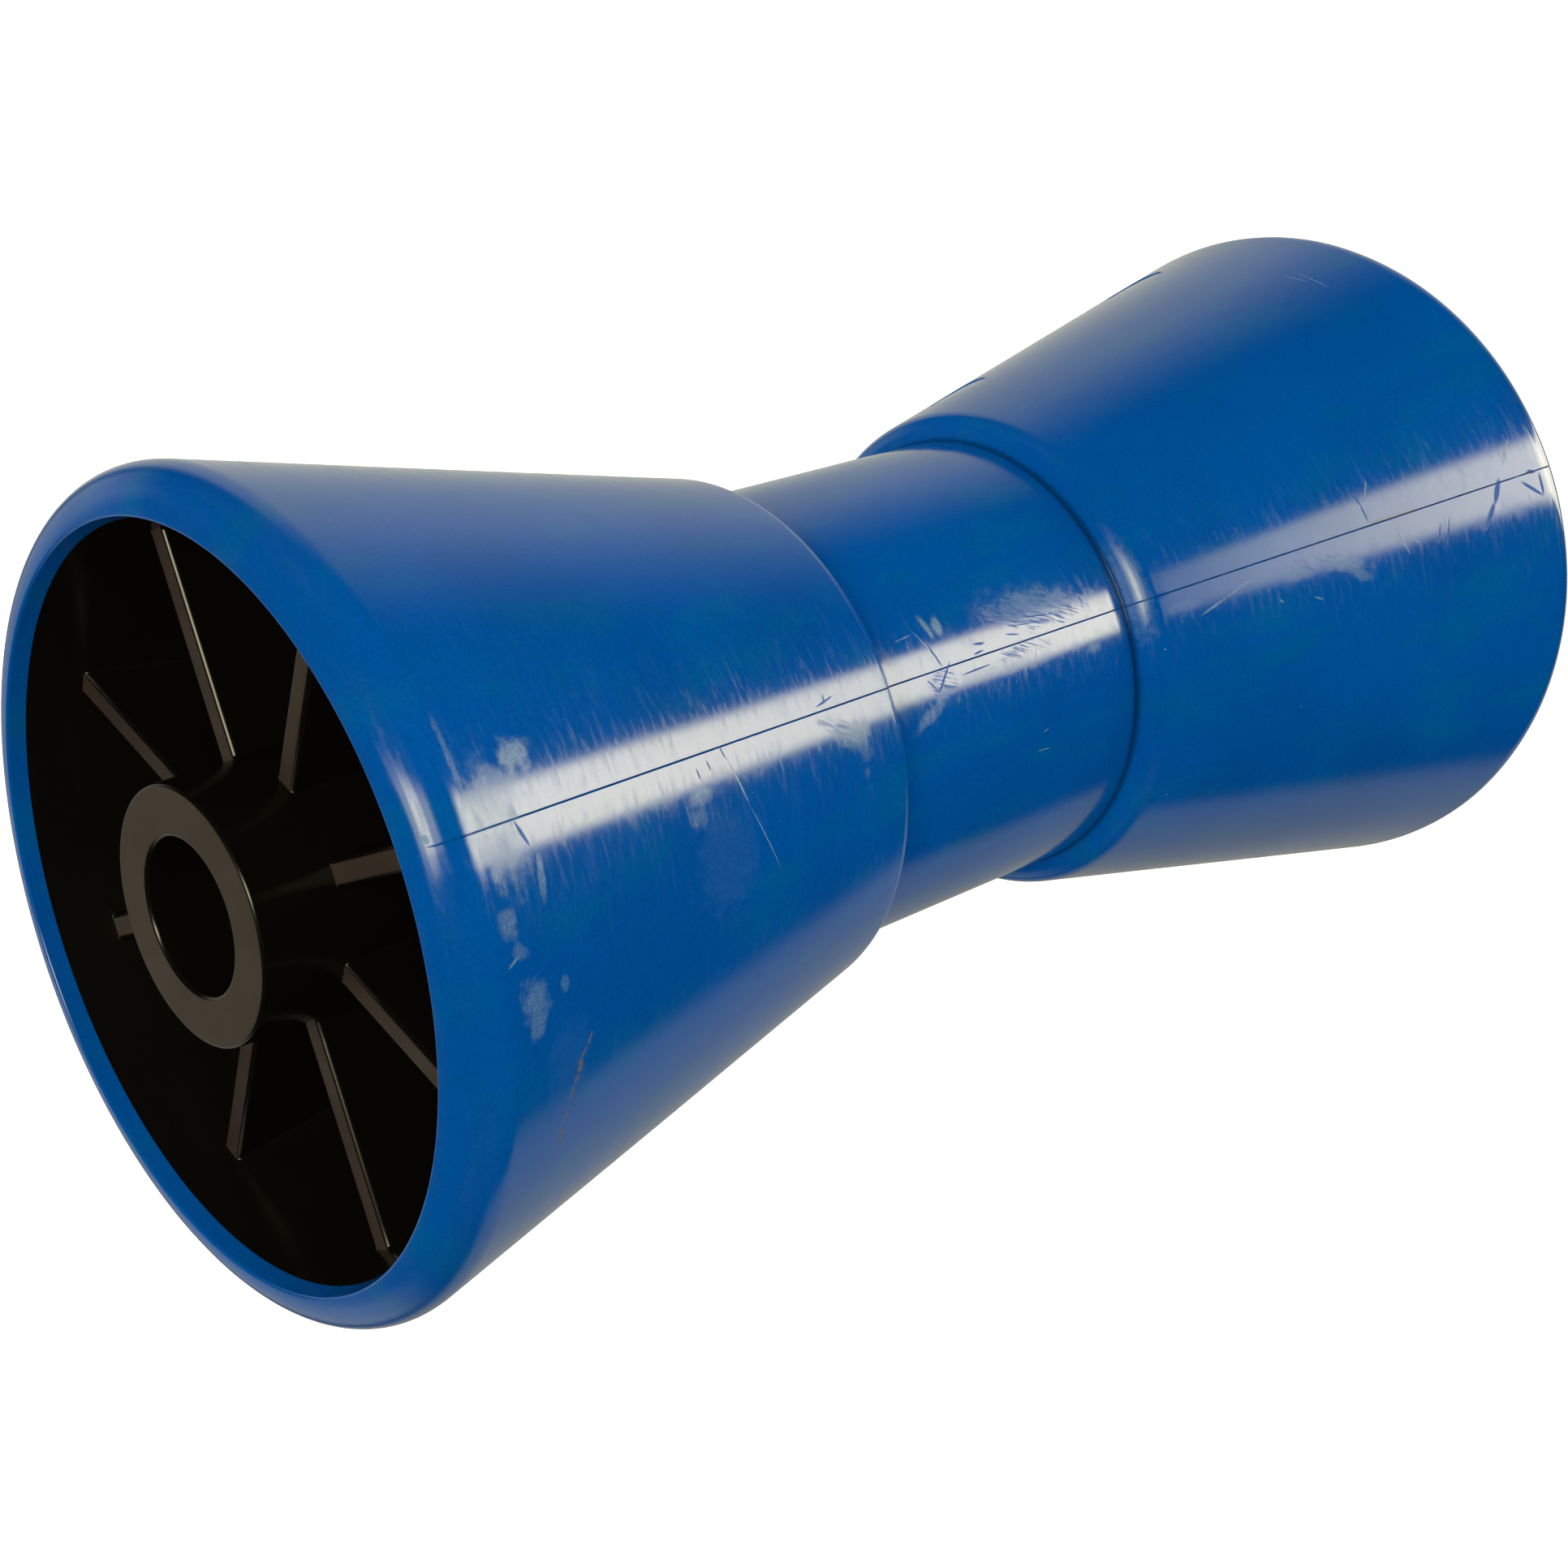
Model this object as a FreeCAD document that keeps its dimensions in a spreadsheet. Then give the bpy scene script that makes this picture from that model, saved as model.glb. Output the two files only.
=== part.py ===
import FreeCAD, Part
import os

import Sketcher

# Keel roller of a boat trailer: a black moulded core with a soft blue cover moulded over it.
# Millimetres. The roller stands on one hub end, its axis is +Z, and its origin is
# the centre of the lower hub face. Each body is drawn about its own middle, where
# z is 0, as an upper half that is mirrored down, and is then lifted into place.

SIZES = {
    # Cover. The diameters are those of the sharp corners that the roundings cut.
    "cover_length": 200.0,
    "end_diameter": 100.4,
    "waist_diameter": 60.5,
    "waist_length": 45.2,
    "shoulder_step": 3.05,
    "cover_thickness": 3.4,
    "lip_depth": 2.2,
    "end_rounding": 4.9,
    "lip_chamfer": 0.3,
    "shoulder_rounding": 3.4,
    # Round mould marks, on the lower half only and square to the mould's parting plane.
    "mark_diameter": 10.0,
    "mark_depth": 0.45,
    "mark_inner_place": 36.0,
    "mark_outer_place": 80.8,
    "cover_turn": 1.1,
    # Core. The hub stands out of the cover's mouth, and the ribs end inside it.
    "core_wall": 3.0,
    "step_chamfer": 1.8,
    "hub_projection": 1.3,
    "hub_diameter": 30.0,
    "hub_chamfer": 0.4,
    "bore_diameter": 18.0,
    "bore_chamfer": 0.5,
    "web_thickness": 3.0,
    "draft_angle": 0.5,
    "rib_count": 8.0,
    "rib_thickness": 3.1,
    "rib_setback": 8.8,
}

# Heights above the middle of the roller.
END = "(Sizes.cover_length / 2)"
LIP_SEAT = "(Sizes.cover_length / 2 - Sizes.lip_depth)"
RIB_FRONT = "(Sizes.cover_length / 2 - Sizes.rib_setback)"
HUB_END = "(Sizes.cover_length / 2 + Sizes.hub_projection)"
WAIST_END = "(Sizes.waist_length / 2)"
CORE_STEP = f"({WAIST_END} + Sizes.cover_thickness)"
POCKET_STEP = f"({CORE_STEP} + Sizes.core_wall)"
WEB_TOP = "(Sizes.web_thickness / 2)"

# Radii, and the depths under the cover's surface of the core's outside, middle and inside.
END_RADIUS = "(Sizes.end_diameter / 2)"
WAIST_RADIUS = "(Sizes.waist_diameter / 2)"
SHOULDER_RADIUS = f"({WAIST_RADIUS} + Sizes.shoulder_step)"
HUB_RADIUS = "(Sizes.hub_diameter / 2)"
BORE_RADIUS = "(Sizes.bore_diameter / 2)"
COVER = "Sizes.cover_thickness"
MID_WALL = "(Sizes.cover_thickness + Sizes.core_wall / 2)"
WALL = "(Sizes.cover_thickness + Sizes.core_wall)"

# Slopes of the two cones and of the mould draft.
SLOPE = f"(({END_RADIUS} - {SHOULDER_RADIUS}) / ({END} - {WAIST_END}))"
DRAFT = "tan(Sizes.draft_angle)"
HUB_ROOT_RADIUS = f"({HUB_RADIUS} + ({HUB_END} - {WEB_TOP}) * {DRAFT})"


def cone_radius(height):
    """The radius of the cover's sharp cone at a height above the middle."""
    return f"({SHOULDER_RADIUS} + ({height} - {WAIST_END}) * {SLOPE})"


# The core's inside steps in at the waist, between two corners on one height.
STEP_EDGE_RADIUS = f"({WAIST_RADIUS} - {WALL} + {POCKET_STEP} * {DRAFT})"
STEP_ROOT_RADIUS = f"({cone_radius(POCKET_STEP)} - {WALL})"
RIB_REACH = f"({cone_radius(RIB_FRONT)} - {MID_WALL} + {RIB_FRONT} * {DRAFT})"

# Roundings and chamfers, each no larger than the face beside it can hold.
LEAST_LAND = 0.01
HALF_END_CORNER = f"((90 deg - atan({SLOPE})) / 2)"
HALF_SHOULDER_CORNER = f"((90 deg + atan({SLOPE})) / 2)"
END_FACE = f"({WALL} - Sizes.lip_chamfer - {LEAST_LAND})"
SHOULDER_FACE = f"(Sizes.shoulder_step - {LEAST_LAND})"
STEP_FACE = f"({STEP_ROOT_RADIUS} - {STEP_EDGE_RADIUS} - {LEAST_LAND})"
END_ROUNDING = f"min(Sizes.end_rounding; {END_FACE} * tan({HALF_END_CORNER}))"
SHOULDER_ROUNDING = f"min(Sizes.shoulder_rounding; {SHOULDER_FACE} * tan({HALF_SHOULDER_CORNER}))"
STEP_CHAMFER = f"min(Sizes.step_chamfer; {STEP_FACE} / 2)"


def make_sizes(document):
    sheet = document.addObject("Spreadsheet::Sheet", "Sizes")
    for row, (alias, number) in enumerate(SIZES.items(), start=1):
        sheet.set(f"A{row}", alias.replace("_", " "))
        sheet.set(f"B{row}", str(number))
        sheet.setAlias(f"B{row}", alias)
    document.recompute()
    return sheet


document = FreeCAD.newDocument("keel_roller")
sheet = make_sizes(document)


# Drawing with sizes from the sheet

def value(expression):
    """The number that an expression over the sheet gives now."""
    return float(sheet.evalExpression(expression))


def add_body(name):
    body = document.addObject("PartDesign::Body", name)
    body.Label = name
    return body


def origin_part(body, role):
    return next(part for part in body.Origin.OriginFeatures if part.Role == role)


def add_sketch(body, name, role):
    sketch = body.newObject("Sketcher::SketchObject", name)
    sketch.AttachmentSupport = [(origin_part(body, role), "")]
    sketch.MapMode = "FlatFace"
    return sketch


def tie(sketch, expression, *geometry):
    """Add a dimension to a sketch and bind it to an expression."""
    index = sketch.addConstraint(Sketcher.Constraint(*geometry, value(expression)))
    sketch.setExpression(f"Constraints[{index}]", expression)


def draw_outline(sketch, corners):
    """A closed outline with straight sides, each corner tied across and along."""
    points = [FreeCAD.Vector(value(across), value(along), 0) for across, along in corners]
    for start, end in zip(points, points[1:] + points[:1]):
        sketch.addGeometry(Part.LineSegment(start, end), False)
    for line, (across, along) in enumerate(corners):
        following = (line + 1) % len(corners)
        sketch.addConstraint(Sketcher.Constraint("Coincident", line, 2, following, 1))
        tie(sketch, across, "DistanceX", -1, 1, line, 1)
        if along == "0":
            sketch.addConstraint(Sketcher.Constraint("PointOnObject", line, 1, -1))
        else:
            tie(sketch, along, "DistanceY", -1, 1, line, 1)


def turn(body, kind, name, corners):
    """Revolve an outline of radii and heights about the roller's axis, to add or to cut."""
    sketch = add_sketch(body, f"{name}_outline", "XZ_Plane")
    draw_outline(sketch, corners)
    document.recompute()
    feature = body.newObject(kind, name)
    feature.Profile = sketch
    feature.ReferenceAxis = (sketch, ["V_Axis"])
    feature.Angle = 360
    document.recompute()
    return feature


def is_ring(edge, radius, height, tolerance=0.001):
    if not isinstance(edge.Curve, Part.Circle):
        return False
    same_radius = abs(edge.Curve.Radius - radius) < tolerance
    return same_radius and abs(edge.Curve.Center.z - height) < tolerance


def dress_ring(body, kind, name, radius_at, height_at):
    """A fillet or chamfer on the circular corner that lies at a radius and a height."""
    base = body.Tip
    radius, height = value(radius_at), value(height_at)
    edges = enumerate(base.Shape.Edges, start=1)
    corner = [f"Edge{number}" for number, edge in edges if is_ring(edge, radius, height)]
    feature = body.newObject(kind, name)
    feature.Base = (base, corner)
    return feature


def round_ring(body, name, radius_at, height_at, rounding):
    fillet = dress_ring(body, "PartDesign::Fillet", name, radius_at, height_at)
    fillet.setExpression("Radius", rounding)
    document.recompute()
    return fillet


def chamfer_ring(body, name, radius_at, height_at, size):
    chamfer = dress_ring(body, "PartDesign::Chamfer", name, radius_at, height_at)
    chamfer.setExpression("Size", size)
    document.recompute()
    return chamfer


def mirror_down(body):
    """Mirror the upper half in the plane through the middle."""
    mirror = body.newObject("PartDesign::Mirrored", f"{body.Name}_halves")
    mirror.TransformMode = "Whole shape"
    mirror.MirrorPlane = (origin_part(body, "XY_Plane"), [""])
    body.Tip = mirror
    document.recompute()
    return mirror


# Cover

def make_cover():
    """An hourglass sleeve, whose lip folds over the end of the core's wall."""
    body = add_body("cover")
    mouth_radius = f"({END_RADIUS} - {WALL})"
    turn(body, "PartDesign::Revolution", "sleeve", [
        (WAIST_RADIUS, "0"),
        (WAIST_RADIUS, WAIST_END),
        (SHOULDER_RADIUS, WAIST_END),
        (END_RADIUS, END),
        (mouth_radius, END),
        (f"{cone_radius(LIP_SEAT)} - {WALL}", LIP_SEAT),
        (f"{cone_radius(LIP_SEAT)} - {COVER}", LIP_SEAT),
        (f"{cone_radius(CORE_STEP)} - {COVER}", CORE_STEP),
        (f"{WAIST_RADIUS} - {COVER}", CORE_STEP),
        (f"{WAIST_RADIUS} - {COVER}", "0"),
    ])
    round_ring(body, "end_round", END_RADIUS, END, END_ROUNDING)
    round_ring(body, "shoulder_round", SHOULDER_RADIUS, WAIST_END, SHOULDER_ROUNDING)
    chamfer_ring(body, "lip_edge", mouth_radius, END, "Sizes.lip_chamfer")
    mirror_down(body)
    cut_mark(body, "inner_mark", "Sizes.mark_inner_place")
    cut_mark(body, "outer_mark", "Sizes.mark_outer_place")
    body.setExpression("Placement.Base.z", HUB_END)
    body.Placement.Rotation.Axis = FreeCAD.Vector(0, 0, 1)
    body.setExpression("Placement.Rotation.Angle", "Sizes.cover_turn")
    return body


def cut_mark(body, name, place):
    """A shallow disc with a flat floor, cut square into the lower cone."""
    sketch = add_sketch(body, f"{name}_outline", "XY_Plane")
    centre = FreeCAD.Vector()
    upward = FreeCAD.Vector(0, 0, 1)
    sketch.addGeometry(Part.Circle(centre, upward, value("Sizes.mark_diameter / 2")), False)
    sketch.addConstraint(Sketcher.Constraint("Coincident", 0, 3, -1, 1))
    tie(sketch, "Sizes.mark_diameter", "Diameter", 0)
    tilt = FreeCAD.Rotation(FreeCAD.Vector(1, 0, 0), -90)
    sketch.AttachmentOffset = FreeCAD.Placement(centre, tilt)
    sketch.setExpression("AttachmentOffset.Rotation.Angle", f"atan({SLOPE}) - 90 deg")
    sketch.setExpression("AttachmentOffset.Base.y", cone_radius(place))
    sketch.setExpression("AttachmentOffset.Base.z", f"-{place}")
    document.recompute()
    pocket = body.newObject("PartDesign::Pocket", name)
    pocket.Profile = sketch
    pocket.setExpression("Length", "Sizes.mark_depth")
    document.recompute()
    return pocket


# Core

def make_core():
    """A hub tube in an hourglass wall, joined by a web at the middle and by the ribs."""
    body = add_body("core")
    turn(body, "PartDesign::Revolution", "hub_and_web", [
        (BORE_RADIUS, "0"),
        (BORE_RADIUS, HUB_END),
        (HUB_RADIUS, HUB_END),
        (HUB_ROOT_RADIUS, WEB_TOP),
        (f"{WAIST_RADIUS} - {MID_WALL}", WEB_TOP),
        (f"{WAIST_RADIUS} - {MID_WALL}", "0"),
    ])
    add_ribs(body)
    beyond_ribs = f"({RIB_REACH} + Sizes.core_wall)"
    mid_step = f"({CORE_STEP} + Sizes.core_wall / 2)"
    turn(body, "PartDesign::Groove", "rib_trim", [
        (f"{WAIST_RADIUS} - {MID_WALL}", "0"),
        (f"{WAIST_RADIUS} - {MID_WALL}", mid_step),
        (f"{cone_radius(mid_step)} - {MID_WALL}", mid_step),
        (f"{cone_radius(LIP_SEAT)} - {MID_WALL}", LIP_SEAT),
        (beyond_ribs, LIP_SEAT),
        (beyond_ribs, "0"),
    ])
    turn(body, "PartDesign::Revolution", "wall", [
        (f"{WAIST_RADIUS} - {COVER}", "0"),
        (f"{WAIST_RADIUS} - {COVER}", CORE_STEP),
        (f"{cone_radius(CORE_STEP)} - {COVER}", CORE_STEP),
        (f"{cone_radius(LIP_SEAT)} - {COVER}", LIP_SEAT),
        (f"{cone_radius(LIP_SEAT)} - {WALL}", LIP_SEAT),
        (STEP_ROOT_RADIUS, POCKET_STEP),
        (STEP_EDGE_RADIUS, POCKET_STEP),
        (f"{WAIST_RADIUS} - {WALL}", "0"),
    ])
    chamfer_ring(body, "step_edge", STEP_EDGE_RADIUS, POCKET_STEP, STEP_CHAMFER)
    chamfer_ring(body, "step_root", STEP_ROOT_RADIUS, POCKET_STEP, STEP_CHAMFER)
    chamfer_ring(body, "hub_edge", HUB_RADIUS, HUB_END, "Sizes.hub_chamfer")
    chamfer_ring(body, "bore_edge", BORE_RADIUS, HUB_END, "Sizes.bore_chamfer")
    mirror_down(body)
    body.setExpression("Placement.Base.z", HUB_END)
    return body


def add_ribs(body):
    """Ribs from hub to wall, thicker towards the web by the mould's draft."""
    root = f"(({HUB_RADIUS} + {BORE_RADIUS}) / 2)"
    half = f"(Sizes.rib_thickness / 2 + {RIB_FRONT} * {DRAFT})"
    corners = [(root, f"-{half}"), (RIB_REACH, f"-{half}"), (RIB_REACH, half), (root, half)]
    sketch = add_sketch(body, "rib_outline", "XY_Plane")
    draw_outline(sketch, corners)
    document.recompute()
    rib = body.newObject("PartDesign::Pad", "rib")
    rib.Profile = sketch
    rib.setExpression("Length", RIB_FRONT)
    rib.setExpression("TaperAngle", "-Sizes.draft_angle")
    document.recompute()
    ribs = body.newObject("PartDesign::PolarPattern", "ribs")
    ribs.Originals = [rib]
    ribs.Axis = (origin_part(body, "Z_Axis"), [""])
    ribs.Angle = 360
    ribs.setExpression("Occurrences", "Sizes.rib_count")
    body.Tip = ribs
    document.recompute()
    return ribs


# Checking and writing

def check(bodies):
    for entry in document.Objects:
        if "Invalid" in entry.State or "Error" in entry.State:
            raise RuntimeError(f"{entry.Name} failed to build: {entry.State}")
    for body in bodies:
        if body.Shape.isNull() or not body.Shape.isValid() or len(body.Shape.Solids) != 1:
            raise RuntimeError(f"{body.Label} is not one valid solid")


bodies = [make_core(), make_cover()]
document.recompute()
check(bodies)
os.makedirs("parts", exist_ok=True)
for body in bodies:
    body.Shape.exportStep(f"parts/{body.Label}.step")
    print(body.Label, round(body.Shape.Volume, 1), body.Shape.BoundBox)
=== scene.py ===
import math

import bmesh
import bpy
import numpy as np
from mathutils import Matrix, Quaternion, Vector


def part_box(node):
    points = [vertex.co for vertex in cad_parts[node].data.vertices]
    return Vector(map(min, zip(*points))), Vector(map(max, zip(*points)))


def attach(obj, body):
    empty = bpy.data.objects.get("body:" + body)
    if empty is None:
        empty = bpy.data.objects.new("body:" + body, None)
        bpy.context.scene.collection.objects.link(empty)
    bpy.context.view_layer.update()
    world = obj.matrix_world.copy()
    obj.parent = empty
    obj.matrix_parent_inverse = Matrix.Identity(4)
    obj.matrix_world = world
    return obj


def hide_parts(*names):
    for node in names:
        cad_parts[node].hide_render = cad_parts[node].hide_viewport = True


# Keel roller of a boat trailer, standing on one hub end: a glossy black ribbed core
# with a soft blue cover moulded over it. Metres, with sizes of the object in MM.

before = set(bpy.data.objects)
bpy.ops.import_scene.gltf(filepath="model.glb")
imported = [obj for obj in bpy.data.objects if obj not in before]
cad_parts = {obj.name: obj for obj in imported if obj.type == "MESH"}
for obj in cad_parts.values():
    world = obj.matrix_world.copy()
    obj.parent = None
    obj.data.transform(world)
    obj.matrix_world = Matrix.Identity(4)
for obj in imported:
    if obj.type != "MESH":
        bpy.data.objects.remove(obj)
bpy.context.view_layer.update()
MM = 0.001

# Sizes shared with the solids. Heights are measured from the middle of the roller.
CORE_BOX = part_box("core")
COVER_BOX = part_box("cover")
MIDDLE = (CORE_BOX[0][2] + CORE_BOX[1][2]) / 2
HUB_END = CORE_BOX[1][2] - MIDDLE
END = COVER_BOX[1][2] - MIDDLE
END_RADIUS = 50.2 * MM
WAIST_RADIUS = 30.25 * MM
WAIST_END = 22.6 * MM
SHOULDER_STEP = 3.05 * MM
SHOULDER_RADIUS = WAIST_RADIUS + SHOULDER_STEP
SLOPE = (END_RADIUS - SHOULDER_RADIUS) / (END - WAIST_END)
RISING = np.array((SLOPE, 1)) / math.hypot(SLOPE, 1)
END_ROUNDING = 4.9 * MM
SHOULDER_ROUNDING = 3.4 * MM
COVER_THICKNESS = 3.4 * MM
CORE_WALL = 3.0 * MM
WALL = COVER_THICKNESS + CORE_WALL
LIP_DEPTH = 2.2 * MM
LIP_SEAT = END - LIP_DEPTH
CORE_STEP = WAIST_END + COVER_THICKNESS
POCKET_STEP = CORE_STEP + CORE_WALL
WEB_TOP = 1.5 * MM
HUB_RADIUS = 15.0 * MM
BORE_RADIUS = 9.0 * MM
RIB_FRONT = END - 8.8 * MM
RIB_HALF = 1.55 * MM
RIB_COUNT = 8
DRAFT = math.tan(math.radians(0.5))

# Round mould marks on the lower half, and the mould's parting plane.
MARK_RADIUS = 5.0 * MM
MARK_DEPTH = 0.15 * MM
MARK_EDGE = 0.07 * MM
MARK_PLACES = (36.0 * MM, 80.8 * MM)
COVER_TURN = math.radians(1.1)
MARK_AZIMUTH = COVER_TURN + math.pi / 2

# Small roundings that only the finished surface has.
LIP_ROUNDING = 0.35 * MM
WAIST_ROOT_ROUNDING = 0.2 * MM
ROOT_GROOVE_WIDTH = 0.55 * MM
ROOT_GROOVE_DEPTH = 0.22 * MM
HUB_EDGE_ROUNDING = 0.45 * MM
BORE_EDGE_ROUNDING = 0.55 * MM
RIB_EDGE_ROUNDING = 0.6 * MM
RIB_ROOT_ROUNDING = 0.45 * MM
STEP_ROUNDING = 1.8 * MM

# The mould's parting line and the skin's slow unevenness.
SEAM_HALF_WIDTH = 0.08 * MM
SEAM_DEPTH = 0.05 * MM
SEAM_RAGGEDNESS = 0.25
SEAM_WAVE_RATES = (2300, 870)
SKIN_UNEVENNESS = 0.02 * MM

# Waves of the unevenness: number round the roller, change along it, and phase.
SKIN_WAVES = ((3, 21, 0.4), (5, -34, 1.7), (8, 47, 2.9), (11, -75, 0.9), (17, 88, 4.1))
SKIN_MARGIN = 0.5 * MM


def cone_radius(height):
    """Radius of the cover's cone at a height from the middle."""
    return SHOULDER_RADIUS + (height - WAIST_END) * SLOPE


# Camera, at the photograph's place, with the photograph's roll and framing

CAMERA_PLACE = (241.60 * MM, 9.70 * MM, 316.48 * MM)
CAMERA_AIM = (-0.09 * MM, 3.96 * MM, 125.56 * MM)
CAMERA_ROLL = math.radians(-108.08)
CAMERA_LENS = 55.30
CAMERA_SHIFT = (0.0479, -0.0476)
CAMERA_AZIMUTH = math.radians(2.3)


def make_camera():
    data = bpy.data.cameras.new("camera")
    data.lens = CAMERA_LENS
    data.sensor_width = 36
    data.shift_x, data.shift_y = CAMERA_SHIFT
    data.clip_start = 0.01
    camera = bpy.data.objects.new("camera", data)
    bpy.context.scene.collection.objects.link(camera)
    camera.location = CAMERA_PLACE
    level = (Vector(CAMERA_AIM) - Vector(CAMERA_PLACE)).to_track_quat("-Z", "Y")
    camera.rotation_mode = "QUATERNION"
    camera.rotation_quaternion = level @ Quaternion((0, 0, 1), CAMERA_ROLL)
    bpy.context.scene.camera = camera


# Building nodes

def add_node(tree, kind, inputs=None, **settings):
    """A node whose inputs are numbers, colours or other nodes' outputs."""
    node = tree.nodes.new(kind)
    for name, setting in settings.items():
        setattr(node, name, setting)
    for key, source in (inputs or {}).items():
        if isinstance(source, bpy.types.NodeSocket):
            tree.links.new(source, node.inputs[key])
        else:
            node.inputs[key].default_value = source
    return node


def calculate(tree, operation, *values):
    node = add_node(tree, "ShaderNodeMath", dict(enumerate(values)), operation=operation)
    return node.outputs[0]


def ease(tree, value, start, end, low=0.0, high=1.0):
    """Goes smoothly from low to high while the value goes from start to end."""
    if start > end:
        start, end, low, high = end, start, high, low
    inputs = {"Value": value, "From Min": start, "From Max": end, "To Min": low, "To Max": high}
    node = add_node(tree, "ShaderNodeMapRange", inputs, interpolation_type="SMOOTHSTEP")
    return node.outputs["Result"]


# Light that comes from far away, by its direction: X to the front, Y to the left, Z up.
# Two strips stand in front, one low and one high with a halo. The low surroundings are
# pale, more on the left, and a glow stands behind the roller. Pairs are where a part of
# the light starts and ends its fade.

STRIP_TINT = (1.0, 0.91, 0.60, 1.0)
SURROUNDINGS_TINT = (0.92, 0.92, 0.72, 1.0)
LOW_STRIP = dict(centre=-0.03, half_width=(0.085, 0.14), foot=(-0.99, -0.84), foot_share=0.4,
                 top=(-0.63, -0.355), strength=13.4)
HIGH_STRIP = dict(centre=0.05, half_width=(0.03, 0.17), foot=(0.70, 0.78), foot_share=0.0,
                  top=(0.90, 0.95), strength=9.0)
HIGH_STRIP_HALO = dict(centre=0.05, half_width=(0.05, 0.16), foot=(0.38, 0.58), foot_share=0.0,
                       top=(0.975, 0.998), strength=4.5)
STRIP_NARROWING = (-0.79, -0.71, 0.94, 1.25)
LEFT_GLOW = 0.70
LEFT_GLOW_EDGE = (0.3, -0.3)
RIGHT_GLOW = 0.38
RIGHT_GLOW_EDGE = (-0.05, -0.20)
GLOW_BLEND = 0.22
GLOW_TOP = (-0.12, -0.34)
REAR_GLOW = 0.5
REAR_GLOW_EDGE = (-0.55, -0.85)
REAR_GLOW_HEIGHTS = (-0.2, 0.0, 0.3, 0.5)


def multiply(tree, *values):
    """The product of some numbers or outputs."""
    product = values[0]
    for value in values[1:]:
        product = calculate(tree, "MULTIPLY", product, value)
    return product


def add_strip(tree, parts, centre, half_width, foot, foot_share, top, strength):
    """Light of a tall strip in front, whose top and foot are given as sines of elevation.

    It narrows towards the ground.
    """
    aside = calculate(tree, "ABSOLUTE", calculate(tree, "SUBTRACT", parts["Y"], centre))
    aside = calculate(tree, "DIVIDE", aside, ease(tree, parts["Z"], *STRIP_NARROWING))
    across = ease(tree, aside, *half_width, 1, 0)
    above_foot = ease(tree, parts["Z"], *foot, foot_share, 1)
    below_top = ease(tree, parts["Z"], *top, 1, 0)
    in_front = calculate(tree, "GREATER_THAN", parts["X"], 0)
    return multiply(tree, across, above_foot, below_top, in_front, strength)


def make_surroundings():
    world = bpy.data.worlds.new("studio")
    bpy.context.scene.world = world
    world.use_nodes = True
    tree = world.node_tree
    tree.nodes.clear()
    direction = add_node(tree, "ShaderNodeTexCoord").outputs["Generated"]
    turned = add_node(tree, "ShaderNodeVectorRotate", {"Vector": direction, "Angle": -CAMERA_AZIMUTH},
                      rotation_type="Z_AXIS")
    parts = add_node(tree, "ShaderNodeSeparateXYZ", {0: turned.outputs[0]}).outputs
    strips = 0.0
    for strip in (LOW_STRIP, HIGH_STRIP, HIGH_STRIP_HALO):
        strips = calculate(tree, "ADD", strips, add_strip(tree, parts, **strip))

    leftness = ease(tree, parts["Y"], -GLOW_BLEND, GLOW_BLEND)
    rightness = calculate(tree, "SUBTRACT", 1, leftness)
    low = ease(tree, parts["Z"], *GLOW_TOP, 0, 1)
    left_glow = multiply(tree, ease(tree, parts["X"], *LEFT_GLOW_EDGE, 0, LEFT_GLOW), leftness, low)
    right_glow = multiply(tree, ease(tree, parts["X"], *RIGHT_GLOW_EDGE, 0, RIGHT_GLOW), rightness, low)
    foot, full, fading, top = REAR_GLOW_HEIGHTS
    rear_glow = multiply(tree, ease(tree, parts["X"], *REAR_GLOW_EDGE, 0, REAR_GLOW),
                         ease(tree, parts["Z"], foot, full, 0, 1),
                         ease(tree, parts["Z"], fading, top, 1, 0))
    glow = calculate(tree, "ADD", calculate(tree, "ADD", left_glow, right_glow), rear_glow)

    lit = add_node(tree, "ShaderNodeBackground", {"Color": STRIP_TINT, "Strength": strips})
    pale = add_node(tree, "ShaderNodeBackground", {"Color": SURROUNDINGS_TINT, "Strength": glow})
    both = add_node(tree, "ShaderNodeAddShader", {0: lit.outputs[0], 1: pale.outputs[0]})
    output = add_node(tree, "ShaderNodeOutputWorld")
    tree.links.new(both.outputs[0], output.inputs["Surface"])


# Soft lights that don't show as reflections. The one in front is near enough for the
# far end to get less of it; the others have a direction, a strength and a spread.
FRONT_FILL_DIRECTION = (0.62, 0.12, 0.78)
FRONT_FILL_DISTANCE = 1.0
FRONT_FILL_SIZE = 0.95
FRONT_FILL_POWER = 3.6
FILLS = {
    "left_fill": ((0.0, 1.0, 0.1), 1.0, math.radians(60)),
    "right_fill": ((-0.1, -1.0, 0.1), 1.0, math.radians(60)),
    "rear_fill": ((-0.9, 0.2, 0.3), 1.4, math.radians(80)),
}


def add_light(name, kind, strength, direction):
    data = bpy.data.lights.new(name, kind)
    data.energy = strength
    data.color = STRIP_TINT[:3]
    light = bpy.data.objects.new(name, data)
    bpy.context.scene.collection.objects.link(light)
    light.rotation_mode = "QUATERNION"
    light.rotation_quaternion = Vector(direction).to_track_quat("Z", "Y")
    light.visible_glossy = False
    light.visible_camera = False
    return light


def make_fill_lights():
    for name, (direction, strength, spread) in FILLS.items():
        add_light(name, "SUN", strength, direction).data.angle = spread
    front = add_light("front_fill", "AREA", FRONT_FILL_POWER, FRONT_FILL_DIRECTION)
    front.data.shape = "DISK"
    front.data.size = FRONT_FILL_SIZE
    towards = Vector(FRONT_FILL_DIRECTION).normalized()
    front.location = towards * FRONT_FILL_DISTANCE + Vector((0, 0, MIDDLE))


# Floor and backdrop, seen only by the camera

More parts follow.
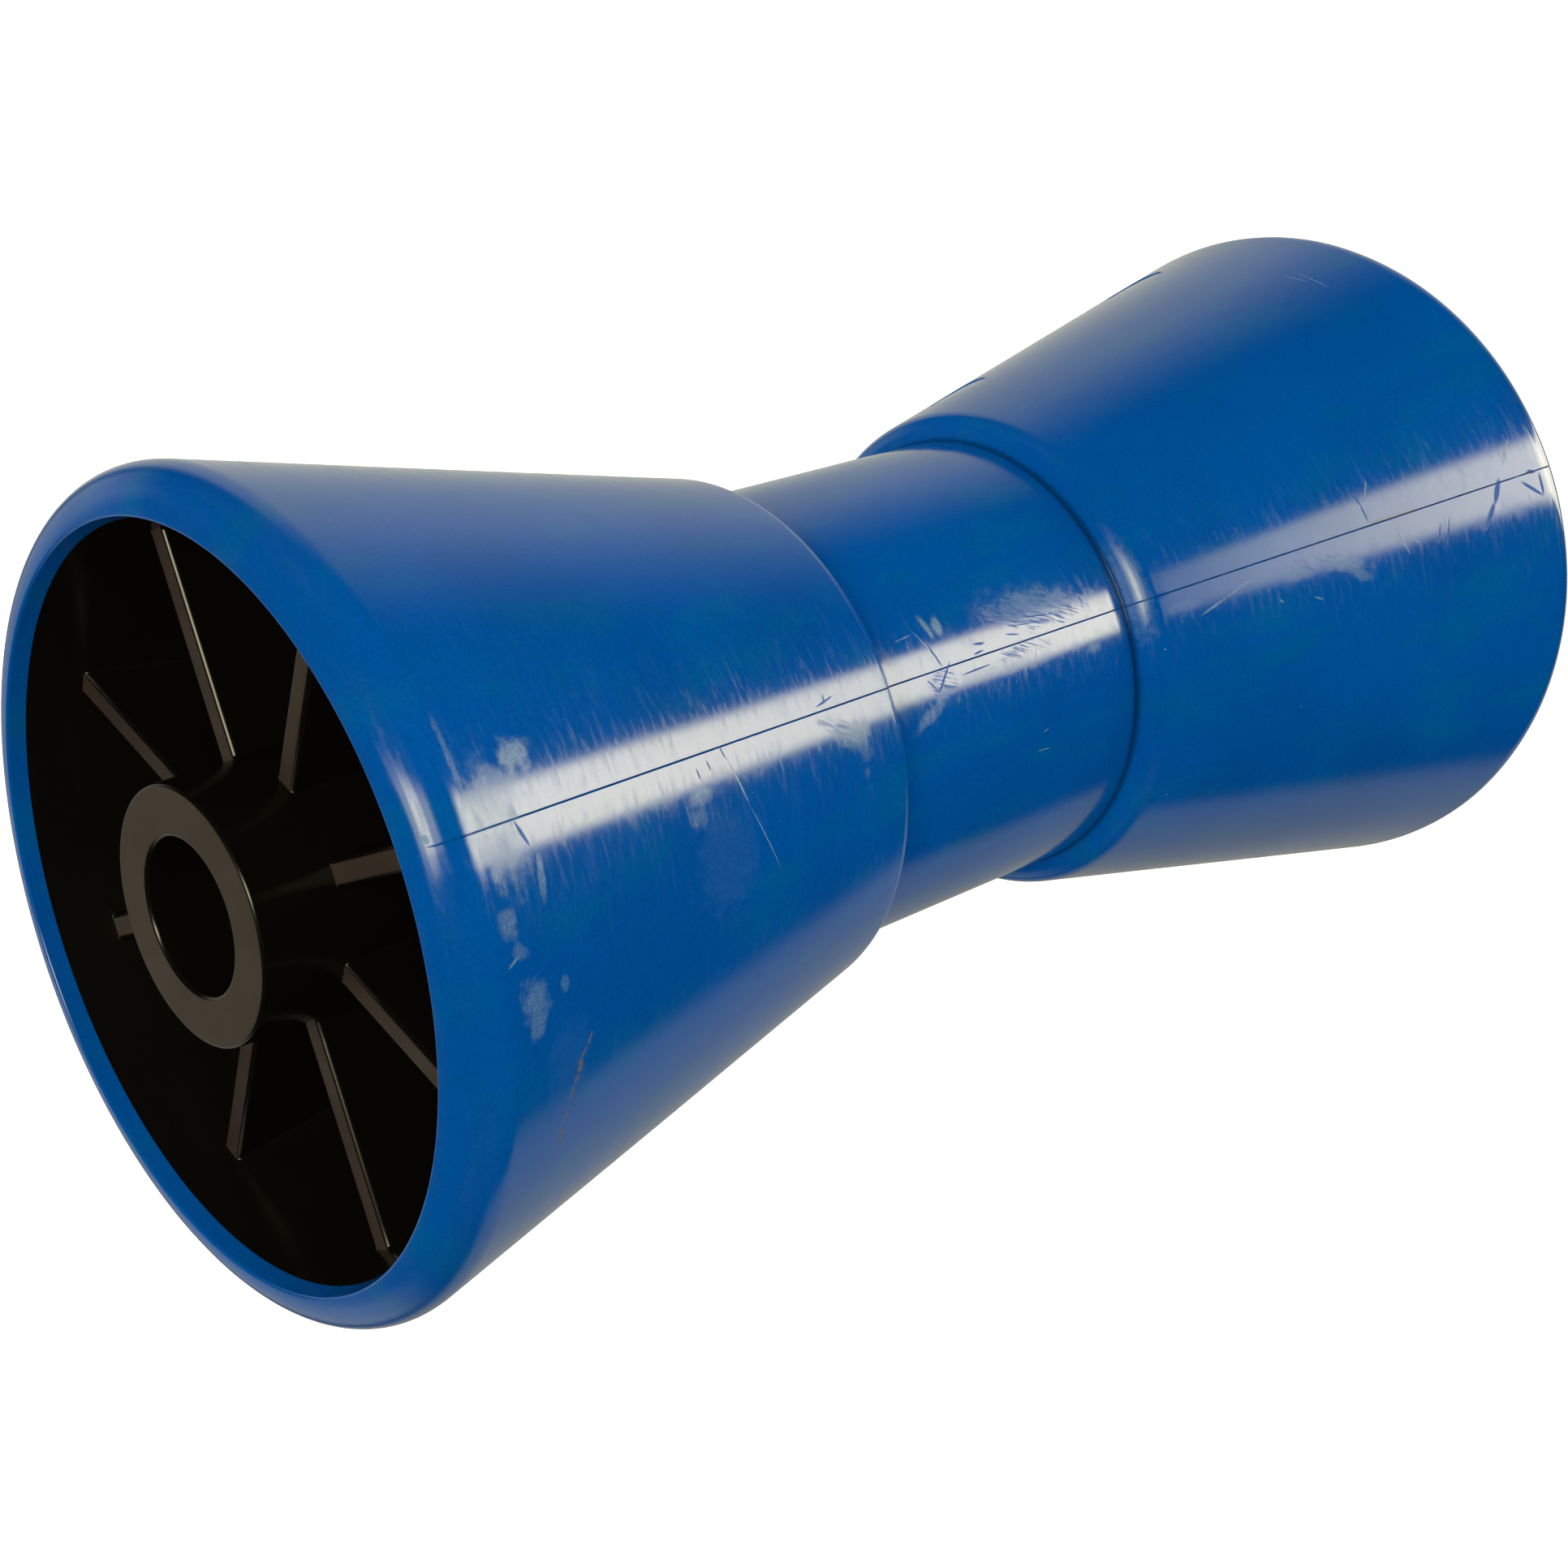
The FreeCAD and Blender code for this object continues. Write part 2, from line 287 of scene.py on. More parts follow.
STAGE_RADIUS = 4.0
FLOOR_GLOW = 0.86
FLOOR_WHITE = (0.6, 0.6, 0.6, 1.0)
BACKDROP_GLOW = 1.0


def only_for_camera(piece):
    piece.visible_diffuse = False
    piece.visible_glossy = False
    piece.visible_transmission = False
    piece.visible_volume_scatter = False
    piece.visible_shadow = False


def stage_material(name, glow, diffuse):
    material = bpy.data.materials.new(name)
    material.use_nodes = True
    tree = material.node_tree
    tree.nodes.clear()
    emission = add_node(tree, "ShaderNodeEmission", {"Strength": glow})
    shaded = add_node(tree, "ShaderNodeBsdfDiffuse", {"Color": diffuse})
    both = add_node(tree, "ShaderNodeAddShader", {0: emission.outputs[0], 1: shaded.outputs[0]})
    output = add_node(tree, "ShaderNodeOutputMaterial")
    tree.links.new(both.outputs[0], output.inputs["Surface"])
    return material


def make_stage():
    bpy.ops.mesh.primitive_circle_add(vertices=128, radius=STAGE_RADIUS, fill_type="NGON")
    floor = bpy.context.object
    floor.name = "floor"
    floor.data.materials.append(stage_material("floor_white", FLOOR_GLOW, FLOOR_WHITE))
    only_for_camera(floor)
    bpy.ops.mesh.primitive_uv_sphere_add(segments=64, ring_count=32, radius=STAGE_RADIUS)
    backdrop = bpy.context.object
    backdrop.name = "backdrop"
    backdrop.data.materials.append(stage_material("backdrop_white", BACKDROP_GLOW, (0, 0, 0, 1)))
    only_for_camera(backdrop)


# Outlines: corners of radius, height and rounding become points with arcs

ARC_STEP = math.radians(7)


def round_corner(before, corner, after, rounding):
    """Points of the arc that rounds a corner, from the side of before to that of after."""
    back = (before - corner) / np.linalg.norm(before - corner)
    on = (after - corner) / np.linalg.norm(after - corner)
    half = math.acos(np.clip(back @ on, -1, 1)) / 2
    reach = rounding / math.tan(half)
    middle = (back + on) / np.linalg.norm(back + on)
    centre = corner + middle * rounding / math.sin(half)
    start = corner + back * reach - centre
    end = corner + on * reach - centre
    turn = math.pi - 2 * half
    steps = max(3, math.ceil(turn / ARC_STEP))
    shares = np.linspace(0, 1, steps + 1)[:, None]
    along = np.sin((1 - shares) * turn) * start + np.sin(shares * turn) * end
    return centre + along / math.sin(turn)


def round_outline(corners):
    """An open outline through corners of radius, height and rounding."""
    places = [np.array(corner[:2], float) for corner in corners]
    points = [places[0][None]]
    for index in range(1, len(corners) - 1):
        rounding = corners[index][2] if len(corners[index]) > 2 else 0
        if rounding:
            points.append(round_corner(places[index - 1], places[index], places[index + 1], rounding))
        else:
            points.append(places[index][None])
    points.append(places[-1][None])
    return np.vstack(points)


def divide(points, longest):
    """Adds points to an outline so that no run is longer than a length."""
    divided = [points[:1]]
    for start, end in zip(points[:-1], points[1:]):
        count = max(1, math.ceil(np.linalg.norm(end - start) / longest - 1e-6))
        divided.append(start + (end - start) * (np.arange(1, count + 1) / count)[:, None])
    return np.vstack(divided)


# Cover

ROW_SPACING = 2.4 * MM
LONG_RISE = 20 * MM
MARK_COLUMN_STEP = math.radians(0.62)
MARK_RINGS = 18
COLUMN_STEP = math.radians(1.5)
SEAM_SHIFTS = np.array((0.04, 0.08, 0.14, 0.25, 0.5, 1.0)) * MM
SAME_ANGLE = 1e-6
SHARP_ANGLE = math.radians(40)


def cover_half_outline():
    """The upper half of the cover's section, from the waist's outside over the lip to its inside."""
    seat_radius = cone_radius(LIP_SEAT)
    return round_outline([
        (WAIST_RADIUS, 0),
        (WAIST_RADIUS, WAIST_END - ROOT_GROOVE_WIDTH, WAIST_ROOT_ROUNDING),
        (WAIST_RADIUS - ROOT_GROOVE_DEPTH, WAIST_END, WAIST_ROOT_ROUNDING / 2),
        (SHOULDER_RADIUS, WAIST_END, SHOULDER_ROUNDING),
        (END_RADIUS, END, END_ROUNDING),
        (END_RADIUS - WALL, END, LIP_ROUNDING),
        (seat_radius - WALL, LIP_SEAT),
        (seat_radius - COVER_THICKNESS, LIP_SEAT),
        (cone_radius(CORE_STEP) - COVER_THICKNESS, CORE_STEP),
        (WAIST_RADIUS - COVER_THICKNESS, CORE_STEP),
        (WAIST_RADIUS - COVER_THICKNESS, 0),
    ])


def mark_rows(place):
    """Distances along the cone, from a mark's middle, of the rows that cross it."""
    spacing = MARK_COLUMN_STEP * cone_radius(place)
    return np.arange(-MARK_RINGS, MARK_RINGS + 1) * spacing


def cover_outline():
    """The whole section, with rows added on the lower cone where the marks lie."""
    upper = cover_half_outline()
    rises = upper[1:, 1] - upper[:-1, 1]
    on_cone = np.flatnonzero((upper[:-1, 1] > WAIST_END) & (rises > LONG_RISE))[0]
    stops = []
    for place in MARK_PLACES:
        middle = np.array((cone_radius(place), place))
        stops.append(middle + mark_rows(place)[:, None] * RISING)
    lower = np.vstack([upper[:on_cone + 1], *stops, upper[on_cone + 1:]])
    upper = divide(upper, ROW_SPACING)
    lower = divide(lower, ROW_SPACING)
    return np.vstack([upper, (lower * (1, -1))[-2:0:-1]])


def cover_columns():
    """Angle and sideways shift of each column, closer together at the marks and seams."""
    columns = []
    for seam in (COVER_TURN, COVER_TURN + math.pi):
        columns += [(seam, 0.0)]
        columns += [(seam, side * shift) for shift in SEAM_SHIFTS for side in (-1, 1)]
    rings = np.arange(-MARK_RINGS, MARK_RINGS + 1)
    columns += [(MARK_AZIMUTH + ring * MARK_COLUMN_STEP, 0.0) for ring in rings]
    mark_reach = MARK_RINGS * MARK_COLUMN_STEP + COLUMN_STEP / 2
    seam_reach = SEAM_SHIFTS[-1] / WAIST_RADIUS + COLUMN_STEP / 3
    for angle in np.arange(0, 2 * math.pi - 1e-9, COLUMN_STEP) + COVER_TURN:
        from_mark = abs(math.remainder(angle - MARK_AZIMUTH, 2 * math.pi))
        from_seam = abs(math.remainder(angle - COVER_TURN, math.pi))
        if from_mark > mark_reach and from_seam > seam_reach:
            columns.append((angle, 0.0))
    columns.sort(key=lambda column: column[0] % (2 * math.pi) + column[1] / END_RADIUS)
    return np.array(columns)


def outline_normals(points):
    """Outward normals of a closed section."""
    along = np.roll(points, -1, 0) - np.roll(points, 1, 0)
    normals = np.stack([along[:, 1], -along[:, 0]], 1)
    return normals / np.linalg.norm(normals, axis=1)[:, None]


def unevenness(azimuth, height):
    """Slow waves of a moulded soft skin, between about minus one and one."""
    waves = [np.sin(turns * azimuth + rate * height + phase) for turns, rate, phase in SKIN_WAVES]
    return sum(waves) / 3


def sink_mark(across, along, offset, place, centre_row, centre_column):
    """Bends the grid round a mark into rings, and sinks the inside by the mark's depth."""
    rows = np.arange(across.shape[0])[:, None] - centre_row
    count = across.shape[1]
    columns = (np.arange(count)[None] - centre_column + count // 2) % count - count // 2
    ring = np.maximum(abs(rows), abs(columns))
    inside = ring <= MARK_RINGS
    radius = cone_radius(place)
    spacing = MARK_COLUMN_STEP * radius
    sideways, upward = columns * spacing, rows * spacing
    reach = np.hypot(sideways, upward)
    wall_ring = int(MARK_RADIUS / spacing) - 1
    known_rings = (0, wall_ring, wall_ring + 1, wall_ring + 2, MARK_RINGS)
    known_reach = (0, MARK_RADIUS - MARK_EDGE, MARK_RADIUS, MARK_RADIUS + 2 * MARK_EDGE,
                   MARK_RINGS * spacing)
    round_reach = np.interp(ring, known_rings, known_reach)
    squareness = np.clip((ring - wall_ring - 2) / (MARK_RINGS - wall_ring - 2), 0, 1)
    new_reach = round_reach + (reach - round_reach) * squareness
    scale = np.where(reach > 0, new_reach / np.maximum(reach, 1e-9), 1)
    across[inside] = (sideways * scale / radius)[inside]
    along[inside] = (upward * scale)[inside]
    offset[inside & (ring <= wall_ring)] = -MARK_DEPTH


def make_cover_mesh():
    """The cover's skin, with its marks, its parting line and its unevenness."""
    outline = cover_outline()
    normals = outline_normals(outline)
    columns = cover_columns()
    radius = np.repeat(outline[:, :1], len(columns), 1)
    height = np.repeat(outline[:, 1:], len(columns), 1)
    azimuth = columns[None, :, 0] + columns[None, :, 1] / radius
    offset = np.zeros_like(radius)

    mark_column = int(np.argmin(abs(columns[:, 0] - MARK_AZIMUTH)))
    for place in MARK_PLACES:
        middle = np.array((cone_radius(place), -place))
        mark_row = int(np.argmin(np.linalg.norm(outline - middle, axis=1)))
        across = azimuth - MARK_AZIMUTH
        along = np.full_like(radius, np.nan)
        sink_mark(across, along, offset, place, mark_row, mark_column)
        moved = ~np.isnan(along)
        azimuth[moved] = MARK_AZIMUTH + across[moved]
        radius[moved] = middle[0] - along[moved] * RISING[0]
        height[moved] = middle[1] + along[moved] * RISING[1]

    outline_radius, outline_height = outline[:, 0], abs(outline[:, 1])
    cones = outline_radius > cone_radius(outline_height) - COVER_THICKNESS / 2
    waist = (outline_height <= CORE_STEP) & (outline_radius > WAIST_RADIUS - COVER_THICKNESS / 2)
    skin = (cones | waist) & (outline_height < END - SKIN_MARGIN)
    half_turns = (columns[:, 0] - COVER_TURN) / math.pi
    on_seam = abs(half_turns - np.round(half_turns)) < SAME_ANGLE
    seam = np.where(on_seam, np.clip(1 - abs(columns[:, 1]) / SEAM_HALF_WIDTH, 0, 1), 0)
    fast, slow = SEAM_WAVE_RATES
    waves = np.sin(height * fast) * np.sin(height * slow + 1)
    ragged = 1 - SEAM_RAGGEDNESS + SEAM_RAGGEDNESS * waves
    offset -= SEAM_DEPTH * seam[None] * ragged * skin[:, None]
    offset += SKIN_UNEVENNESS * unevenness(azimuth, height) * skin[:, None]
    radius = radius + offset * normals[:, :1]
    height = height + offset * normals[:, 1:]
    points = np.stack([radius * np.cos(azimuth), radius * np.sin(azimuth), height + MIDDLE], -1)
    return grid_mesh("cover_skin", points)


def grid_mesh(name, points):
    """A mesh of a grid that closes on itself both ways."""
    rows, columns = points.shape[:2]
    index = np.arange(rows * columns).reshape(rows, columns)
    corners = [index, np.roll(index, -1, 1), np.roll(index, (-1, -1), (0, 1)), np.roll(index, -1, 0)]
    quads = np.stack(corners, -1).reshape(-1, 4)
    return build_mesh(name, points.reshape(-1, 3), quads.tolist())


def build_mesh(name, points, faces):
    """A smooth mesh of points and faces."""
    mesh = bpy.data.meshes.new(name)
    mesh.from_pydata(np.asarray(points).tolist(), [], faces)
    mesh.validate()
    mesh.update()
    mesh.shade_smooth()
    return mesh


def add_piece(name, mesh, node, material):
    """Adds a mesh as the piece that takes a solid's place."""
    piece = bpy.data.objects.new(name, mesh)
    bpy.context.scene.collection.objects.link(piece)
    mesh.materials.append(material)
    mesh.set_sharp_from_angle(angle=SHARP_ANGLE)
    normals = piece.modifiers.new("even_normals", "WEIGHTED_NORMAL")
    normals.keep_sharp = True
    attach(piece, "root")
    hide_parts(node)
    return piece


# Core

HUB_ARC_POINTS = 12
WALL_ARC_POINTS = 20
CORNER_POINTS = 6
SIDE_POINTS = 12
RIB_TOP_POINTS = 7
RIB_EDGE_POINTS = 6
POCKET_ROW_SPACING = 8 * MM
CORE_ROW_SPACING = 4 * MM
MERGE_DISTANCE = 0.002 * MM
RIB_ANGLE = 2 * math.pi / RIB_COUNT


def pocket_corner(radius, half, rounding, outward):
    """Centre of the fillet between a rib's side and a round wall."""
    centre_across = half + rounding
    centre_radius = radius - rounding if outward else radius + rounding
    return math.sqrt(centre_radius ** 2 - centre_across ** 2), centre_across


def half_pocket(hub_radius, wall_radius, half):
    """One rib's side of a pocket: from mid hub arc, along the rib, to mid wall arc.

    The rib lies along +X, and the pocket on its +Y side.
    """
    middle = RIB_ANGLE / 2
    rounding = RIB_ROOT_ROUNDING
    inner = np.array(pocket_corner(hub_radius, half, rounding, False))
    outer = np.array(pocket_corner(wall_radius, half, rounding, True))
    inner_angle = math.atan2(inner[1], inner[0])
    outer_angle = math.atan2(outer[1], outer[0])
    hub_angles = np.linspace(middle, inner_angle, HUB_ARC_POINTS // 2 + 1)
    hub_arc = hub_radius * np.stack([np.cos(hub_angles), np.sin(hub_angles)], 1)
    turns = np.linspace(inner_angle + math.pi, 1.5 * math.pi, CORNER_POINTS)[1:]
    inner_fillet = inner + rounding * np.stack([np.cos(turns), np.sin(turns)], 1)
    shares = np.linspace(0, 1, SIDE_POINTS)[1:-1]
    side = np.stack([inner[0] + (outer[0] - inner[0]) * shares, np.full(len(shares), half)], 1)
    turns = np.linspace(-0.5 * math.pi, outer_angle, CORNER_POINTS)[:-1]
    outer_fillet = outer + rounding * np.stack([np.cos(turns), np.sin(turns)], 1)
    wall_angles = np.linspace(outer_angle, middle, WALL_ARC_POINTS // 2 + 1)
    wall_arc = wall_radius * np.stack([np.cos(wall_angles), np.sin(wall_angles)], 1)
    return np.vstack([hub_arc, inner_fillet, side, outer_fillet, wall_arc])


def pocket_levels():
    """Height, wall radius and narrowing of the rib at each level of a pocket, from the top."""
    levels = []
    for turn in np.linspace(0, math.pi / 2, RIB_EDGE_POINTS):
        height = RIB_FRONT - RIB_EDGE_ROUNDING * (1 - math.cos(turn))
        narrowing = RIB_EDGE_ROUNDING * (1 - math.sin(turn))
        levels.append((height, cone_radius(height) - WALL, narrowing))
    wall = round_outline([
        (cone_radius(RIB_FRONT) - WALL, RIB_FRONT),
        (cone_radius(POCKET_STEP) - WALL, POCKET_STEP, STEP_ROUNDING),
        (WAIST_RADIUS - WALL + POCKET_STEP * DRAFT, POCKET_STEP, STEP_ROUNDING),
        (WAIST_RADIUS - WALL + WEB_TOP * DRAFT, WEB_TOP),
    ])
    wall = divide(wall, POCKET_ROW_SPACING)
    below = wall[wall[:, 1] < RIB_FRONT - 2 * RIB_EDGE_ROUNDING]
    levels += [(height, radius, 0) for radius, height in below]
    return levels


def pocket_rings():
    """The outline of a pocket at each level, for the side of the rib along +X."""
    rings = []
    for height, wall_radius, narrowing in pocket_levels():
        hub_radius = HUB_RADIUS + (HUB_END - height) * DRAFT
        half = RIB_HALF + (RIB_FRONT - height) * DRAFT - narrowing
        plan = half_pocket(hub_radius, wall_radius, half)
        rings.append(np.hstack([plan, np.full((len(plan), 1), height)]))
    return np.array(rings)


class Surface:
    """Collects grids and faces of one mesh."""

    def __init__(self):
        self.points = []
        self.faces = []
        self.count = 0

    def add_grid(self, grid):
        rows, columns = grid.shape[:2]
        index = np.arange(rows * columns).reshape(rows, columns) + self.count
        corners = [index[:-1, :-1], index[:-1, 1:], index[1:, 1:], index[1:, :-1]]
        self.faces += np.stack(corners, -1).reshape(-1, 4).tolist()
        self.points.append(grid.reshape(-1, 3))
        self.count += rows * columns

    def add_cap(self, loop):
        self.faces.append(list(range(self.count, self.count + len(loop))))
        self.points.append(loop)
        self.count += len(loop)


def turned(points, angle):
    """Points turned round the roller's axis."""
    cosine, sine = math.cos(angle), math.sin(angle)
    x, y, z = points[..., 0], points[..., 1], points[..., 2]
    return np.stack([x * cosine - y * sine, x * sine + y * cosine, z], -1)


def mirrored(points):
    """The other side of the rib along +X."""
    return points * (1, -1, 1)


def revolve(section, angles):
    """A grid of a section of radii and heights at the given angles."""
    radius, height = section[:, 0][:, None], section[:, 1][:, None]
    return np.stack([radius * np.cos(angles), radius * np.sin(angles), height + 0 * angles], -1)


def rib_top(side):
    """The flat top of the rib along +X, between its two sides and the two round walls."""
    shares = np.linspace(-1, 1, RIB_TOP_POINTS)
    top = np.stack([side[:, :1] + 0 * shares, side[:, 1:2] * shares, side[:, 2:] + 0 * shares], -1)
    for end in (0, -1):
        radius = math.hypot(*side[end, :2])
        angles = math.atan2(side[end, 1], side[end, 0]) * shares
        top[end, :, 0] = radius * np.cos(angles)
        top[end, :, 1] = radius * np.sin(angles)
    return top


def make_core_mesh():
    """The core, whose lower half is the upper one's mirror image."""
    surface = Surface()
    rings = pocket_rings()
    hub_count = HUB_ARC_POINTS // 2
    wall_count = WALL_ARC_POINTS // 2
    side = rings[0][hub_count:-wall_count]
    top = rib_top(side)

    hub_angles = np.arctan2(rings[0][:hub_count + 1, 1], rings[0][:hub_count + 1, 0])
    wall_angles = np.arctan2(rings[0][-wall_count - 1:, 1], rings[0][-wall_count - 1:, 0])
    rib_hub_angles = np.arctan2(top[0, :, 1], top[0, :, 0])
    rib_wall_angles = np.arctan2(top[-1, :, 1], top[-1, :, 0])
    hub_fan = np.unique(np.round(np.concatenate([-hub_angles, rib_hub_angles, hub_angles]), 9))
    wall_fan = np.unique(np.round(np.concatenate([-wall_angles, rib_wall_angles, wall_angles]), 9))

    hub = divide(round_outline([
        (HUB_RADIUS + (HUB_END - RIB_FRONT) * DRAFT, RIB_FRONT),
        (HUB_RADIUS, HUB_END, HUB_EDGE_ROUNDING),
        (BORE_RADIUS, HUB_END, BORE_EDGE_ROUNDING),
        (BORE_RADIUS, 0),
    ]), CORE_ROW_SPACING)
    wall = divide(round_outline([
        (cone_radius(RIB_FRONT) - WALL, RIB_FRONT),
        (cone_radius(LIP_SEAT) - WALL, LIP_SEAT),
        (cone_radius(LIP_SEAT) - COVER_THICKNESS, LIP_SEAT),
        (cone_radius(CORE_STEP) - COVER_THICKNESS, CORE_STEP),
        (WAIST_RADIUS - COVER_THICKNESS, CORE_STEP),
        (WAIST_RADIUS - COVER_THICKNESS, 0),
    ]), CORE_ROW_SPACING)

    for rib in range(RIB_COUNT):
        angle = rib * RIB_ANGLE
        surface.add_grid(turned(revolve(hub, hub_fan), angle))
        surface.add_grid(turned(revolve(wall, wall_fan), angle)[:, ::-1])
        surface.add_grid(turned(top, angle)[::-1])
        surface.add_grid(turned(rings, angle)[:, ::-1])
        surface.add_grid(turned(mirrored(rings), angle))
        near = turned(rings[-1], angle)
        far = turned(mirrored(rings[-1]), angle + RIB_ANGLE)
        surface.add_cap(np.vstack([near, far[-2:0:-1]]))

    points = np.vstack(surface.points)
    below = [[corner + len(points) for corner in face[::-1]] for face in surface.faces]
    points = np.vstack([points, points * (1, 1, -1)])
    return merged(build_mesh("core_moulding", points + (0, 0, MIDDLE), surface.faces + below))


def merged(mesh):
    """Joins the grids' shared points and turns all faces outward."""
    work = bmesh.new()
    work.from_mesh(mesh)
    bmesh.ops.remove_doubles(work, verts=work.verts, dist=MERGE_DISTANCE)
    bmesh.ops.recalc_face_normals(work, faces=work.faces)
    work.to_mesh(mesh)
    work.free()
    mesh.shade_smooth()
    return mesh


# Materials. A mix node has several sockets of one name, so they go by number.

MIX_SHARE, MIX_FIRST, MIX_SECOND = 0, 6, 7
MIX_COLOUR = 2


def add_mix(tree, share, first, second):
    """Goes from one colour to another."""
    inputs = {MIX_SHARE: share, MIX_FIRST: first, MIX_SECOND: second}
    return add_node(tree, "ShaderNodeMix", inputs, data_type="RGBA").outputs[MIX_COLOUR]


def add_noise(tree, vector, scale, detail=2.0, roughness=0.5):
    """A noise between nought and one."""
    inputs = {"Vector": vector, "Scale": scale, "Detail": detail, "Roughness": roughness}
    return add_node(tree, "ShaderNodeTexNoise", inputs).outputs[0]


def object_place(tree):
    """A point of the piece, and its three coordinates."""
    place = add_node(tree, "ShaderNodeTexCoord").outputs["Object"]
    return place, add_node(tree, "ShaderNodeSeparateXYZ", {0: place}).outputs


def round_coordinates(tree, parts):
    """Azimuth and radius of a point, and its place on a ring of one metre."""
    squares = [calculate(tree, "MULTIPLY", parts[axis], parts[axis]) for axis in ("X", "Y")]
    radius = calculate(tree, "SQRT", calculate(tree, "ADD", *squares))
    azimuth = calculate(tree, "ARCTAN2", parts["Y"], parts["X"])
    ring = [calculate(tree, "DIVIDE", parts[axis], radius) for axis in ("X", "Y")]
    return azimuth, radius, ring


def stretched(tree, ring, height, around, along):
    """A place on the skin for a texture, scaled around the roller and along it."""
    inputs = {"X": multiply(tree, ring[0], around), "Y": multiply(tree, ring[1], around),
              "Z": multiply(tree, height, along)}
    return add_node(tree, "ShaderNodeCombineXYZ", inputs).outputs[0]


# Worn places on the cover, and one painted glint, each an oval on the skin laid flat.
# Patches: azimuth and height of the middle, half sizes round and along in MM, tilt in degrees,
# strength. Strokes: azimuth and height of both ends, and width.

FLAT_RADIUS = 42 * MM
HAZE_PATCHES = {
    "near_cloud": (8.2, 187.4, 1.7, 2.6, 10, 0.8),
    "near_cloud_tail": (7.0, 191.0, 1.2, 2.6, -20, 0.4),
    "near_band_end": (1.0, 192.6, 5.8, 4.0, 0, 0.5),
    "near_edge_rub": (10.0, 195.2, 4.6, 0.5, 0, 0.4),
    "near_mottle": (1.6, 190.0, 0.9, 0.8, 20, 0.8),
    "near_drip": (-6.6, 188.6, 2.2, 0.55, -8, 0.5),
    "near_patch": (-10.0, 194.3, 1.5, 1.3, 10, 0.5),
    "near_patch_tail": (-13.5, 193.4, 1.3, 0.8, 60, 0.4),
    "near_plaque": (-20.3, 192.2, 2.4, 1.9, 20, 0.55),
    "near_plaque_foot": (-22.6, 192.4, 1.8, 1.1, 10, 0.5),
    "near_plaque_dot": (-20.0, 187.9, 0.9, 0.6, 0, 0.4),
    "middle_triangle": (-4.9, 163.0, 1.3, 2.6, 10, 0.4),
    "middle_triangle_foot": (-7.5, 164.0, 1.6, 1.6, 45, 0.4),
    "middle_smudge": (-15.0, 160.5, 7.5, 5.5, 0, 0.08),
    "middle_arc": (-4.8, 134.2, 2.4, 4.2, -30, 0.5),
    "middle_arc_foot": (-8.2, 133.0, 1.8, 1.6, 0, 0.35),
    "middle_arc_dot": (-12.5, 133.5, 0.9, 0.7, 0, 0.3),
    "waist_leaf_left": (11.6, 113.3, 2.7, 0.6, 12, 0.7),
    "waist_leaf_right": (11.2, 111.6, 2.6, 0.85, -8, 0.8),
    "waist_low_leaf": (-8.6, 117.2, 1.2, 3.6, 35, 0.5),
    "waist_rubbing": (9.4, 94.0, 3.2, 11.0, -14, 0.3),
    "waist_rubbing_low": (-3.0, 104.0, 1.5, 9.0, -8, 0.3),
    "waist_fringe": (-6.0, 86.5, 1.0, 1.8, 0, 0.3),
    "waist_corner": (7.5, 121.3, 2.6, 0.8, 20, 0.15),
    "far_comet": (-3.8, 46.0, 1.3, 5.6, -22, 0.4),
    "far_comet_tail": (-7.0, 43.0, 0.9, 3.0, -30, 0.4),
    "far_comet_head": (-3.5, 53.5, 1.2, 3.0, -10, 0.3),
    "far_low_smear": (-3.0, 72.5, 1.0, 3.0, 0, 0.2),
    "shoulder_dulling": (4.0, 78.3, 9.0, 1.7, 0, 0.35),
    "near_low_haze": (-30.5, 187.5, 4.5, 3.5, 0, 0.06),
}
HATCHED_PATCHES = {
    "waist_hatching": (7.4, 95.0, 3.6, 10.0, -12, 1.0),
    "waist_hatching_low": (-0.8, 98.5, 1.5, 5.0, 0, 0.9),
    "waist_crossing": (-2.0, 113.5, 2.4, 2.8, 0, 1.0),
    "middle_arc_hatching": (-2.5, 137.5, 2.0, 4.0, -30, 0.6),
    "far_hatching": (-2.5, 50.0, 1.6, 7.0, -10, 0.5),
}
PALE_STROKES_AND_GLINT = {
    "near_edge_rub_low": (5.5, 195.0, -0.5, 194.4, 0.5),
    # A pale stroke where the rim's highlight crosses the parting line's flash: a painted glint.
    "rim_flash_glint": (2.7, 200.0, 1.5, 199.8, 0.5),
    "long_scratch_top": (0.6, 157.7, -9.5, 155.4, 0.3),
    "long_scratch_foot": (-8.5, 155.7, -21.3, 151.5, 0.2),
    "plaque_tail": (-13.7, 193.5, -14.8, 195.4, 0.3),
    "waist_stem": (11.7, 115.7, 2.0, 113.1, 0.25),
    "waist_thin": (10.3, 119.1, 10.8, 115.9, 0.2),
    "waist_low_line": (-4.7, 97.3, -0.5, 96.4, 0.25),
    "waist_low_arc": (-26.3, 96.1, -26.1, 98.6, 0.25),
    "waist_low_mark": (-21.8, 97.7, -21.2, 96.4, 0.25),
    "far_streak_a": (-0.8, 35.5, -6.3, 33.9, 0.35),
    "far_streak_b": (-2.0, 33.4, -5.0, 31.9, 0.3),
    "far_light_line": (9.4, 37.3, 5.2, 39.2, 0.3),
    "far_light_stroke": (7.8, 10.8, 3.5, 13.9, 0.4),
    "far_low_line_a": (-1.5, 61.0, -3.9, 66.0, 0.3),
    "far_low_line_b": (-3.5, 65.2, -5.8, 70.4, 0.35),
    "far_fleck_a": (-8.8, 51.5, -9.8, 50.0, 0.25),
    "far_fleck_b": (-7.2, 57.4, -8.2, 56.6, 0.25),
    "far_top_line_a": (57.1, 19.0, 52.0, 18.0, 0.3),
    "far_top_line_b": (56.0, 17.0, 48.2, 17.1, 0.25),
}
